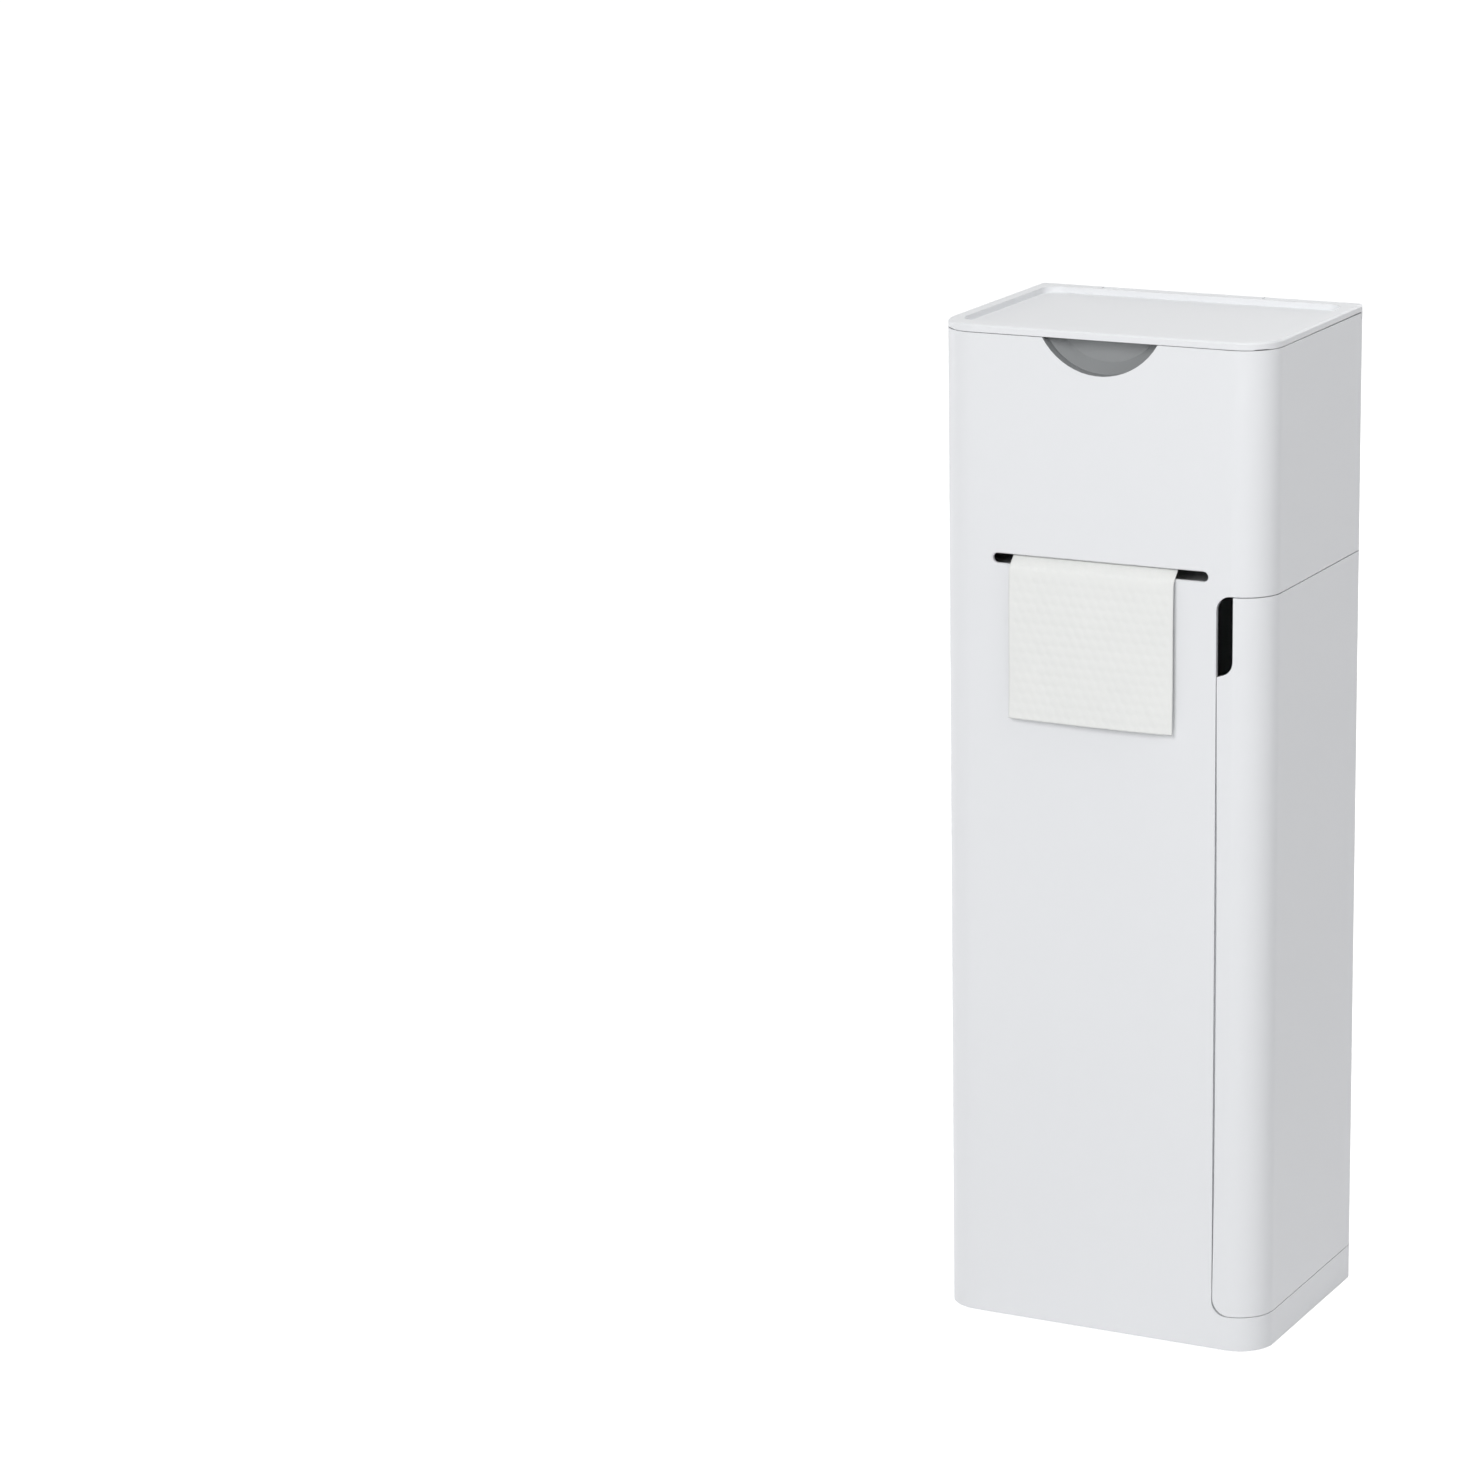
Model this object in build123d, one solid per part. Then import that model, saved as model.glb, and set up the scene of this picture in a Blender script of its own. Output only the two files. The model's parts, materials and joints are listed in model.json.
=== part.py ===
from build123d import *
import math
import os

# Freestanding toilet butler: a tall moulded housing with a paper roll chamber under a hinged
# tray lid, and a corner door that carries the toilet brush and opens onto spare roll shelves.
# Millimetres. +X is right, -Y is the front, +Z is up, origin at the centre of the footprint.

# Overall size
width = 200.0
depth = 150.0
height = 585.0
wall = 2.5
front_radius = 21.8
rear_radius = 8.5
foot_height = 0.8

# How far joined forms are rooted in each other, and how far cutting shapes run past a face
root = 0.5
past = 5.0

# Lid and its hinge
lid_edge = 3.8
lid_seam = 0.8
lid_wall = 2.2
lid_top_chamfer = 1.0
tray_depth = 3.4
tray_floor = 2.0
tray_side_rim = 8.0
tray_front_rim = 13.4
tray_rear_rim = 13.0
tray_radius = 10.0
dish_wall = 2.0
knuckle_radius = 4.5
knuckle_gap = 0.5
rear_rim_gap = 0.3
lid_rod_radius = 1.5
lid_rod_half = 68.0
ear_inner = 40.0
ear_width = 20.0
ear_foot = 15.5
ear_side_gap = 0.4
buffer_radius = 3.0
buffer_x = 60.0
buffer_height = 1.1
buffer_seat = 0.6
landing_width = 10.0
landing_height = 4.0
landing_gap = 0.1

# Half-moon finger recess under the lid
moon_half_width = 34.6
moon_drop = 19.7
moon_depth = 13.0
moon_back_chamfer = 6.0
moon_wall = 2.0
moon_roof_gap = 1.6

# Paper slot
slot_width = 130.5
slot_height = 5.7
slot_drop = 132.1
slot_chamfer = 0.7

# Corner door and the opening it closes
door_bottom_z = 21.0
door_top_drop = 142.0
door_edge_inset = 29.5
door_rear_inset = 13.0
door_column_gap = 0.4
door_gap_side = 0.5
door_gap_bow = 1.1
door_gap_top = 0.6
door_gap_bottom = 0.5
bow_drop = 10.0
opening_radius = 8.5
door_corner_radius = 10.0
notch_width = 9.8
notch_height = 45.5
notch_radius = 8.5
notch_sweep = 70.0
stop_lip = 2.0
stop_lip_gap = 0.5
stop_lip_cover = 5.0
stop_lip_root = 6.0
stop_lip_end = 6.0
door_rib_height = 2.5
door_rib_width = 1.8
door_ribs = 3
rim_clear = 4.0

# Door hinge
hinge_pin_radius = 2.5
bush_radius = 4.0
bush_flange_radius = 6.0
bush_flange = 1.0
bush_step = 0.4
bush_length = 12.0
pin_hold = 12.0
pin_end_wall = 2.0
boss_inset = 1.0
running_gap = 0.06
fixed_gap = 0.03

# Magnetic catch: a bar magnet in the stop lip and a steel plate in the door
magnet_width = 6.0
magnet_height = 12.0
magnet_depth = 4.4
magnet_wall = 1.4
magnet_sunk = 0.1
striker_margin = 0.5
striker_thickness = 0.95
catch_low = 58.0
catch_high = 113.0

# Deck between the roll chamber and the cabinet
deck_seam = 0.6
deck_thickness = 2.4
deck_clear = 0.3
lug_height = 12.0
lug_width = 13.5
lug_length = 10.0
lug_screw_inset = 4.5
lug_front = 29.0
lug_rear = 31.0
guide_height = 2.6
guide_width = 4.0

# Paper roll and its holder
roll_y = 3.0
roll_drop = 75.0
roll_radius = 52.0
roll_width = 100.0
roll_shift = -3.7
core_radius = 21.0
core_wall = 1.0
core_gap = 0.02
spindle_radius = 17.5
spindle_rib_radius = 19.7
spindle_rib_width = 2.0
spindle_ribs = 6
spindle_wall = 1.8
stub_radius = 5.0
notch_clear = 0.1
bracket_inset = 33.0
bracket_thickness = 3.0
bracket_width = 40.0
bracket_top_half = 13.0
bracket_foot = 15.0
bracket_foot_thickness = 2.5
bracket_crest = 8.0
bracket_mouth_half = 9.0
bracket_rib_width = 2.0
bracket_rib_height = 40.0
peg_width = 5.0
peg_out = 9.0
peg_end = 7.0
peg_clear = 0.1
end_play = 0.5

# Hanging paper
paper_thickness = 0.6
paper_gap = 0.3
paper_hang = 90.9
paper_stand_off = 6.0
paper_lip = 4.7
paper_lift = 3.3
paper_shoulder = 3.4
paper_shoulder_drop = 4.4
paper_bulge = 4.2
paper_bulge_drop = 24.0
paper_bends = (4.0, 6.0, 60.0)

# Base
base_plate_thickness = 2.5
base_drop = 0.1
post_radius = 8.0
post_inset = 17.0
post_web = 2.5
post_hinge_shift = 4.0
pad_width = 14.0
pad_thickness = 2.0
threshold_height = 3.6
threshold_start = 12.0

# Back panel
panel_side_inset = 20.0
panel_bottom_z = 30.0
panel_top_drop = 35.0
panel_radius = 6.0
panel_gap = 0.3
panel_sunk = 0.1
panel_seat_gap = 0.05
panel_rib_height = 2.2
panel_rib_width = 2.0
panel_rib_end = 12.0
panel_ribs = 4
ledge_width = 7.0
ledge_overlap = 3.0
ledge_thickness = 2.6
panel_screw_inset = 30.0
boss_radius = 3.6
boss_depth = 8.0

# Spare roll shelves
shelf_to_cup = 6.9
shelf_thickness = 2.2
shelf_flange = 9.0
shelf_lip = 5.0
shelf_edge = 2.0
shelf_clear = 0.3
shelf_count = 2
cleat_depth = 3.5
cleat_height = 2.5
cleat_front = 27.0
cleat_rear = 15.0
cleat_corner = 30.0
cleat_end = 8.0
shelf_peg_width = 4.0
shelf_peg_depth = 7.0
shelf_peg_inset = 7.5
shelf_peg_front = 45.0
shelf_peg_rear = 35.0
peg_seat = 2.0

# Brush, cup and holder
cup_inset = 45.5
cup_set_back = 55.0
cup_radius = 37.0
cup_wall = 1.8
cup_height = 111.0
cup_foot = 3.0
cup_foot_chamfer = 2.5
cup_rim = 1.6
cup_rim_height = 2.5
cup_seat_gap = 0.2
holder_wall = 2.2
holder_clear = 0.4
holder_bottom_z = 27.0
holder_height = 38.0
holder_floor = 2.0
holder_flange = 2.4
holder_flange_half = 26.0
driver_hole = 20.0
holder_pad_height = 1.6
holder_pad_radius = 4.0
holder_seat_gap = 0.05
holder_screw_half = 18.0
holder_screw_end = 9.0
door_skin = 1.0
brush_rise = 9.8
head_radius = 16.0
head_sides = 8
head_length = 84.0
head_shoulder = 6.0
nub_reach = 29.0
nub_root = 6.0
nub_tip = 3.2
nub_rows = 5
nub_end = 11.0
splash_radius = 36.0
splash_thickness = 2.2
splash_hub_radius = 14.0
splash_hub = 14.0
splash_gap = 0.3
handle_foot_radius = 8.0
handle_grip_radius = 9.5
handle_drop = 71.0
handle_wall = 2.0
handle_solid = 20.0
cap_thickness = 3.0
cap_plug = 8.0

# Fasteners. A screw and its bore have eight flats, finer than shows at 3 mm across.
stud_sides = 8
screw_shank = 1.45
screw_head = 3.0
screw_head_height = 1.8
screw_length = 10.0
screw_clear = 0.05
screw_loose = 0.25

# Levels and places that follow from the sizes above
half_width = width / 2
half_depth = depth / 2
rim_z = height - lid_edge - lid_seam
lid_under_z = height - lid_edge
lid_axis_y = half_depth - knuckle_radius
lid_axis_z = height - knuckle_radius
rear_rim_z = lid_axis_z - knuckle_radius + rear_rim_gap
buffer_y = -half_depth + (tray_front_rim - dish_wall + lid_wall) / 2
buffer_top_z = rim_z + landing_gap + buffer_height
tray_z = height - tray_depth
dish_z = tray_z - tray_floor
moon_radius = (moon_half_width ** 2 + moon_drop ** 2) / (2 * moon_drop)
moon_centre_z = rim_z - moon_drop + moon_radius
slot_z = height - slot_drop
door_top_z = height - door_top_drop
door_edge_x = half_width - door_edge_inset
door_rear_x = half_width - door_rear_inset
door_low_z = door_bottom_z + door_gap_bottom
door_high_z = door_top_z - door_gap_top
door_far_x = half_width + past
hinge_x = half_width - rear_radius
hinge_y = half_depth - rear_radius
boss_clear_radius = rear_radius - boss_inset + deck_clear
lip_x = door_edge_x + stop_lip_cover
lip_y = -half_depth + wall + stop_lip_gap
catch_levels = (door_bottom_z + catch_low, door_top_z - catch_high)
magnet_x = lip_x - magnet_width / 6
deck_z = door_top_z + deck_seam
deck_top_z = deck_z + deck_thickness
lug_top_z = deck_top_z + lug_height
roll_z = height - roll_drop
bracket_inner = half_width - bracket_inset
base_top_z = door_bottom_z - base_drop
base_plate_z = base_top_z - base_plate_thickness
panel_half_width = half_width - panel_side_inset
panel_top_z = height - panel_top_drop
panel_front_y = half_depth - wall
panel_back_y = half_depth - panel_sunk
ledge_y = panel_front_y - ledge_thickness
boss_x = panel_half_width - ledge_width / 2
cup_x = half_width - cup_inset
cup_y = -half_depth + cup_set_back
cup_bottom_z = holder_bottom_z + holder_floor + cup_seat_gap
cup_top_z = cup_bottom_z + cup_height
holder_radius = cup_radius + holder_clear + holder_wall
holder_top_z = holder_bottom_z + holder_height
holder_back_x = half_width - wall - holder_pad_height - holder_seat_gap
shelf_right_x = cup_x - holder_radius - shelf_to_cup
shelf_pitch = (deck_z - base_top_z) / (shelf_count + 1)
shelf_levels = [base_top_z + shelf_pitch * (step + 1) for step in range(shelf_count)]
head_bottom_z = cup_bottom_z + cup_foot + brush_rise
head_top_z = head_bottom_z + head_length
splash_z = cup_top_z + splash_gap
handle_top_z = door_top_z - handle_drop


def block(x0, x1, y0, y1, z0, z1):
    return Pos(x0, y0, z0) * Box(x1 - x0, y1 - y0, z1 - z0, align=(Align.MIN, Align.MIN, Align.MIN))


def rod(radius, length):
    return Cylinder(radius, length, align=(Align.CENTER, Align.CENTER, Align.MIN))


def rod_x(radius, y, z, x0, x1):
    return Pos(x0, y, z) * Rot(0, 90, 0) * rod(radius, x1 - x0)


def rod_y(radius, x, z, y0, y1):
    return Pos(x, y1, z) * Rot(90, 0, 0) * rod(radius, y1 - y0)


def rod_z(radius, x, y, z0, z1):
    return Pos(x, y, z0) * rod(radius, z1 - z0)


# A shape pushed out along its normal while each side draws in by the same amount
def draw_in(sketch, length, inward):
    return extrude(sketch, length, taper=math.degrees(math.atan2(inward, length)))


# A rod with a few flats, for screws, their bores and the bosses round them
def stud(radius, length):
    return extrude(RegularPolygon(radius, stud_sides), length)


def stud_x(radius, y, z, x0, x1):
    return Pos(x0, y, z) * Rot(0, 90, 0) * stud(radius, x1 - x0)


def stud_y(radius, x, z, y0, y1):
    return Pos(x, y1, z) * Rot(90, 0, 0) * stud(radius, y1 - y0)


def stud_z(radius, x, y, z0, z1):
    return Pos(x, y, z0) * stud(radius, z1 - z0)


# The footprint with its large front corners and small rear corners, drawn in by an inset
def footprint(inset):
    plan = Rectangle(width - 2 * inset, depth - 2 * inset)
    front = plan.vertices().filter_by(lambda v: v.Y < 0)
    plan = fillet(front, front_radius - inset)
    rear = plan.vertices().filter_by(lambda v: v.Y > half_depth - inset - root)
    return fillet(rear, max(rear_radius - inset, root))


def prism(inset, z0, z1):
    return Pos(0, 0, z0) * extrude(footprint(inset), z1 - z0)


# A wall that follows the footprint between two insets
def band(outer, inner, z0, z1):
    return prism(outer, z0, z1) - prism(inner, z0 - past, z1 + past)


# A flat shape drawn in front view and pushed back from y0 to y1
def from_front(sketch, y0, y1):
    return Pos(0, y1, 0) * extrude(Plane.XZ * sketch, y1 - y0)


# A shape drawn in side view (Y across, Z up) and pushed along X
def from_side(sketch, x0, x1):
    return Pos(x0, 0, 0) * extrude(Plane.YZ * sketch, x1 - x0)


def both_sides(shape):
    return shape + mirror(shape, Plane.YZ)


def countersunk_screw():
    slope = screw_head - screw_shank
    flat = math.cos(math.pi / stud_sides)
    head = Rot(180, 0, 0) * draw_in(RegularPolygon(screw_head, stud_sides), slope, slope * flat)
    return head + Pos(0, 0, -screw_length) * stud(screw_shank, screw_length - slope)


# Flat headed screw, its head above the seat and its shank below
def pan_screw(length):
    return stud(screw_head, screw_head_height) + Pos(0, 0, -length) * stud(screw_shank, length)


def screw_bore(length):
    return Pos(0, 0, -length / 2) * stud(screw_shank + screw_clear, length)


def panel_screw_places():
    levels = (panel_bottom_z + panel_screw_inset, panel_top_z - panel_screw_inset)
    return [(side * boss_x, level) for side in (-1, 1) for level in levels]


def post_places():
    x = half_width - post_inset
    y = half_depth - post_inset
    return [(-x, -y), (x, -y), (-x, y), (x, y - post_hinge_shift)]


def deck_screw_places():
    x = half_width - wall - lug_width + lug_screw_inset
    return [(side * x, y) for side in (-1, 1) for y in (-half_depth + lug_front, half_depth - lug_rear)]


# Square pegs under the roll brackets, or their holes in the deck when grown
def bracket_pegs(grow, z0, z1):
    half = peg_width / 2 + grow
    reach = bracket_width / 2 - peg_end
    x = bracket_inner + peg_out
    pegs = Part()
    for y in (roll_y - reach, roll_y + reach):
        pegs += block(x - half, x + half, y - half, y + half, z0, z1)
    return pegs


def holder_screw_places():
    levels = (holder_bottom_z + holder_screw_end, holder_top_z - holder_screw_end)
    return [(cup_y + side * holder_screw_half, level) for side in (-1, 1) for level in levels]


def buffer_places():
    return [(-buffer_x, buffer_y), (buffer_x, buffer_y)]


# The outline that the door opening has in front view, with its rounded left corners
def opening_outline():
    lines = FilletPolyline(
        (door_far_x, door_top_z),
        (door_edge_x, door_top_z),
        (door_edge_x, door_bottom_z),
        (door_far_x, door_bottom_z),
        radius=opening_radius,
    )
    return make_face(lines + Line((door_far_x, door_bottom_z), (door_far_x, door_top_z)))


def door_opening():
    front = from_front(opening_outline(), -half_depth - past, hinge_y)
    rear = block(door_rear_x, door_far_x, 0, half_depth + past, door_bottom_z, door_top_z)
    cradle = rod_z(rear_radius + door_column_gap, hinge_x, hinge_y, door_bottom_z, door_top_z)
    return front + rear + cradle


# The half-moon scoop: a short drum with a bevelled back, cut off under the rim
def moon_drum(extra):
    drum = rod_y(moon_radius + extra, 0, moon_centre_z, -half_depth, -half_depth + moon_depth + extra)
    return chamfer(drum.edges().sort_by(Axis.Y)[-1], moon_back_chamfer + extra / 2)


def panel_outline(grow):
    outline = Rectangle(2 * (panel_half_width + grow), panel_top_z - panel_bottom_z + 2 * grow)
    return Pos(0, (panel_bottom_z + panel_top_z) / 2) * outline


def panel_window(grow):
    return fillet(panel_outline(grow).vertices(), panel_radius + grow)


# Two barrels on the rear wall that grip the lid's rod on the flats of their bores
def lid_ears():
    x1 = ear_inner + ear_width
    ear = rod_x(knuckle_radius, lid_axis_y, lid_axis_z, ear_inner, x1)
    ear += block(ear_inner, x1, lid_axis_y - knuckle_radius, half_depth, lid_axis_z - ear_foot, lid_axis_z)
    grip = (lid_rod_radius + fixed_gap) / math.cos(math.pi / stud_sides)
    return both_sides(ear) - stud_x(grip, lid_axis_y, lid_axis_z, -half_width, half_width)


# Square pegs under a shelf, or their sockets in the wall's cleats when grown
def shelf_pegs(grow, z0, z1):
    half = shelf_peg_width / 2 + grow
    x = -half_width + shelf_peg_inset
    pegs = Part()
    for y in (-half_depth + shelf_peg_front, half_depth - shelf_peg_rear):
        pegs += block(x - half, x + half, y - half, y + half, z0, z1)
    return pegs


def shelf_cleats():
    cleats = Part()
    wall_x = -half_width + wall - root
    for level in shelf_levels:
        low = level - cleat_height
        depth_x = wall_x + cleat_depth
        cleats += block(wall_x, depth_x, -half_depth + cleat_front, half_depth - cleat_rear, low, level)
        front_y = -half_depth + wall - root
        corner_x = -half_width + cleat_corner
        cleats += block(corner_x, shelf_right_x - cleat_end, front_y, front_y + cleat_depth, low, level)
        cleats += shelf_pegs(peg_seat, level - shelf_peg_depth, level)
        cleats -= shelf_pegs(peg_clear, level - shelf_peg_depth - past, level + past)
    return cleats


# Stop lip behind the door's free edge, with a pocket for each magnet
def stop_strip():
    low = door_bottom_z + stop_lip_end
    high = door_top_z - notch_height - rim_clear
    strip = block(door_edge_x - stop_lip_root, lip_x, lip_y, lip_y + stop_lip, low, high)
    step_x = door_edge_x - deck_clear
    step_y = -half_depth + wall - deck_clear
    strip += block(door_edge_x - stop_lip_root, step_x, step_y, lip_y + root, low, high)
    half_w = magnet_width / 2
    half_h = magnet_height / 2
    for level in catch_levels:
        boss_w = half_w + magnet_wall
        boss_h = half_h + magnet_wall
        deep = lip_y + magnet_depth
        back = deep + magnet_wall
        strip += block(magnet_x - boss_w, magnet_x + boss_w, lip_y, back, level - boss_h, level + boss_h)
        hole_w = half_w + fixed_gap
        hole_h = half_h + fixed_gap
        front = lip_y - past
        strip -= block(magnet_x - hole_w, magnet_x + hole_w, front, deep, level - hole_h, level + hole_h)
    return strip


def housing_shell():
    shell = band(0, wall, foot_height, rim_z)
    slot = Pos(0, slot_z) * SlotOverall(slot_width, slot_height)
    shell -= from_front(slot, -half_depth - past, -half_depth + wall + past)
    mouth = shell.edges().filter_by_position(Axis.Y, -half_depth - fixed_gap, -half_depth + fixed_gap)
    mouth = mouth.filter_by(lambda e: abs(e.center().Z - slot_z) < slot_height)
    shell = chamfer(mouth, slot_chamfer)
    shell -= door_opening()

    # Half-moon scoop with its back wall just under the lid's dish
    scoop = moon_drum(moon_wall) & block(-half_width, half_width, -half_depth, 0, 0, rim_z - moon_roof_gap)
    shell += scoop
    shell -= moon_drum(0) + rod_y(moon_radius, 0, moon_centre_z, -half_depth - past, -half_depth + root)

    # Rear ledge that the back panel is screwed to
    shell -= from_front(panel_window(0), panel_front_y, half_depth + past)
    shell += from_front(panel_outline(ledge_overlap) - panel_outline(-ledge_width), ledge_y, panel_front_y)
    for x, z in panel_screw_places():
        shell += stud_y(boss_radius, x, z, ledge_y - boss_depth, ledge_y)
        shell -= stud_y(screw_shank + screw_clear, x, z, ledge_y - boss_depth - past, half_depth)

    # Cradle that the lid's knuckle turns in, and the two ears beside it
    shell -= rod_x(knuckle_radius + knuckle_gap, lid_axis_y, lid_axis_z, -half_width - past, half_width + past)
    shell -= block(-half_width - past, half_width + past, lid_axis_y, half_depth + past, rear_rim_z, height)
    shell += lid_ears()

    # Corner posts of the plinth, open below for the foot pads, each tied to both walls
    for x, y in post_places():
        shell += stud_z(post_radius, x, y, pad_thickness, base_plate_z)
        reach_x = math.copysign(half_width - wall / 2, x)
        reach_y = math.copysign(half_depth - wall / 2, y)
        half = post_web / 2
        shell += block(min(x, reach_x), max(x, reach_x), y - half, y + half, pad_thickness, base_plate_z)
        shell += block(x - half, x + half, min(y, reach_y), max(y, reach_y), pad_thickness, base_plate_z)
        shell -= Pos(x, y, base_plate_z) * screw_bore(2 * screw_length)

    # Hinge bosses of the corner door, low in the plinth and high under the roll chamber
    boss = rear_radius - boss_inset
    pin_top = door_top_z + pin_hold
    shell += stud_z(boss, hinge_x, hinge_y, door_bottom_z - pin_hold, door_bottom_z)
    shell += stud_z(boss, hinge_x, hinge_y, door_top_z, pin_top + 2 * pin_end_wall)
    pin_low = door_bottom_z - pin_hold + pin_end_wall
    shell -= rod_z(hinge_pin_radius + fixed_gap, hinge_x, hinge_y, pin_low, pin_top)

    # Lugs that the deck is screwed up against
    for x, y in deck_screw_places():
        inner = math.copysign(abs(x) - lug_screw_inset, x)
        outer = math.copysign(half_width - wall + root, x)
        half = lug_length / 2
        lug = block(min(inner, outer), max(inner, outer), y - half, y + half, deck_top_z, lug_top_z)
        shell += lug
        shell -= Pos(x, y, deck_top_z) * screw_bore(2 * screw_length)

    # Tabs that the lid's buffers land on
    for x, y in buffer_places():
        half = landing_width / 2
        tab_y = -half_depth + wall - root
        shell += block(x - half, x + half, tab_y, y + buffer_radius, rim_z - landing_height, rim_z)

    shell += stop_strip()
    shell += shelf_cleats()
    return shell


def back_panel():
    panel = from_front(panel_window(-panel_gap), panel_front_y + panel_seat_gap, panel_back_y)
    rib_half = panel_half_width - panel_rib_end
    rib_pitch = (panel_top_z - panel_bottom_z) / (panel_ribs + 1)
    for step in range(panel_ribs):
        level = panel_bottom_z + (step + 1) * rib_pitch + panel_rib_end
        rib_y = panel_front_y - panel_rib_height
        panel += block(-rib_half, rib_half, rib_y, panel_front_y + root, level, level + panel_rib_width)
    for x, z in panel_screw_places():
        panel -= Pos(x, panel_back_y, z) * Rot(-90, 0, 0) * countersunk_screw()
        panel -= stud_y(screw_shank + screw_loose, x, z, panel_front_y - root, half_depth + past)
    return panel


def back_panel_screws():
    places = panel_screw_places()
    return [Pos(x, panel_back_y, z) * Rot(-90, 0, 0) * countersunk_screw() for x, z in places]


# Floor of the cabinet, with a threshold that the door closes over
def base_plate():
    clear = wall + deck_clear
    plate = prism(clear, base_plate_z, base_top_z)
    rim_outer = wall + stop_lip_gap
    rim = band(rim_outer, rim_outer + stop_lip, base_top_z - root, base_top_z + threshold_height)
    end_y = hinge_y - rear_radius - door_rib_height
    plate += rim & block(door_edge_x + threshold_start, half_width, -half_depth, end_y, 0, height)
    plate -= stud_z(boss_clear_radius, hinge_x, hinge_y, 0, height)
    for x, y in post_places():
        plate -= Pos(x, y, base_top_z) * countersunk_screw()
        plate -= Pos(x, y, base_top_z) * screw_bore(screw_length)
    return plate


def base_screws():
    return [Pos(x, y, base_top_z) * countersunk_screw() for x, y in post_places()]


def foot_pads():
    half = pad_width / 2
    return [block(x - half, x + half, y - half, y + half, 0, pad_thickness) for x, y in post_places()]


# Floor of the roll chamber, with the guide that leads the paper to the slot
def chamber_deck():
    clear = wall + deck_clear
    deck = prism(clear, deck_z, deck_top_z)
    deck -= stud_z(boss_clear_radius, hinge_x, hinge_y, 0, height)
    ledge_reach = panel_half_width + ledge_overlap + deck_clear
    deck -= block(-ledge_reach, ledge_reach, ledge_y - deck_clear, half_depth, 0, height)
    rim_outer = wall + stop_lip_gap
    rim = band(rim_outer, rim_outer + stop_lip, deck_z - threshold_height, deck_z + root)
    start_x = door_edge_x + notch_width + rim_clear
    end_y = hinge_y - rear_radius - door_rib_height
    deck += rim & block(start_x, half_width, -half_depth, end_y, 0, height)
    deck -= both_sides(bracket_pegs(peg_clear, deck_z - past, deck_top_z + past))
    for x, y in deck_screw_places():
        deck -= Pos(x, y, deck_z) * screw_bore(4 * deck_thickness)
    y0 = -half_depth + clear
    ramp = Polyline(
        (y0, deck_top_z - root),
        (y0, deck_top_z + guide_height),
        (y0 + guide_width, deck_top_z + guide_height / 2),
        (y0 + 2 * guide_width, deck_top_z - root),
        close=True,
    )
    return deck + from_side(make_face(ramp), -slot_width / 2, slot_width / 2)


def deck_screws():
    places = deck_screw_places()
    return [Pos(x, y, deck_z) * Rot(180, 0, 0) * pan_screw(screw_length) for x, y in places]


# One upright with the open notch that the spindle drops into
def roll_bracket(side):
    half = bracket_width / 2
    crest_z = roll_z + bracket_crest
    upright = Polyline(
        (roll_y - half, deck_top_z),
        (roll_y + half, deck_top_z),
        (roll_y + bracket_top_half, crest_z),
        (roll_y - bracket_top_half, crest_z),
        close=True,
    )
    throat = stub_radius + notch_clear
    flare = Polyline(
        (roll_y - throat, roll_z),
        (roll_y + throat, roll_z),
        (roll_y + bracket_mouth_half, crest_z + root),
        (roll_y - bracket_mouth_half, crest_z + root),
        close=True,
    )
    x1 = bracket_inner + bracket_thickness
    bracket = from_side(make_face(upright), bracket_inner, x1)
    bracket -= rod_x(throat, roll_y, roll_z, bracket_inner - past, x1 + past)
    bracket -= from_side(make_face(flare), bracket_inner - past, x1 + past)
    foot_x = bracket_inner + bracket_foot
    foot_z = deck_top_z + bracket_foot_thickness
    bracket += block(bracket_inner, foot_x, roll_y - half, roll_y + half, deck_top_z, foot_z)
    gusset = Polyline(
        (x1 - root, foot_z - root),
        (foot_x, foot_z - root),
        (x1 - root, deck_top_z + bracket_rib_height),
        close=True,
    )
    bracket += from_front(make_face(gusset), roll_y - bracket_rib_width / 2, roll_y + bracket_rib_width / 2)
    bracket += bracket_pegs(0, deck_z, foot_z)
    return bracket if side > 0 else mirror(bracket, Plane.YZ)


# Hollow barrel with ribs that grip the core, and a stub at each end
def roll_spindle():
    half = bracket_inner - end_play
    inner = spindle_radius - spindle_wall
    spindle = rod_x(spindle_radius, roll_y, roll_z, -half, half)
    for turn in range(spindle_ribs):
        rib_half = spindle_rib_width / 2
        rib = block(-half + root, half - root, -rib_half, rib_half, inner + root, spindle_rib_radius)
        spindle += Pos(0, roll_y, roll_z) * Rot(turn * 360 / spindle_ribs, 0, 0) * rib
    reach = bracket_inner + bracket_thickness
    spindle += rod_x(stub_radius, roll_y, roll_z, -reach, reach)
    return spindle - rod_x(inner, roll_y, roll_z, -half + spindle_wall, half - spindle_wall)


def roll_core():
    x0 = roll_shift - roll_width / 2
    core = rod_x(core_radius, roll_y, roll_z, x0, x0 + roll_width)
    return core - rod_x(core_radius - core_wall, roll_y, roll_z, x0 - past, x0 + roll_width + past)


def paper_roll():
    x0 = roll_shift - roll_width / 2
    roll = rod_x(roll_radius, roll_y, roll_z, x0, x0 + roll_width)
    return roll - rod_x(core_radius + core_gap, roll_y, roll_z, x0 - past, x0 + roll_width + past)


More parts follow.
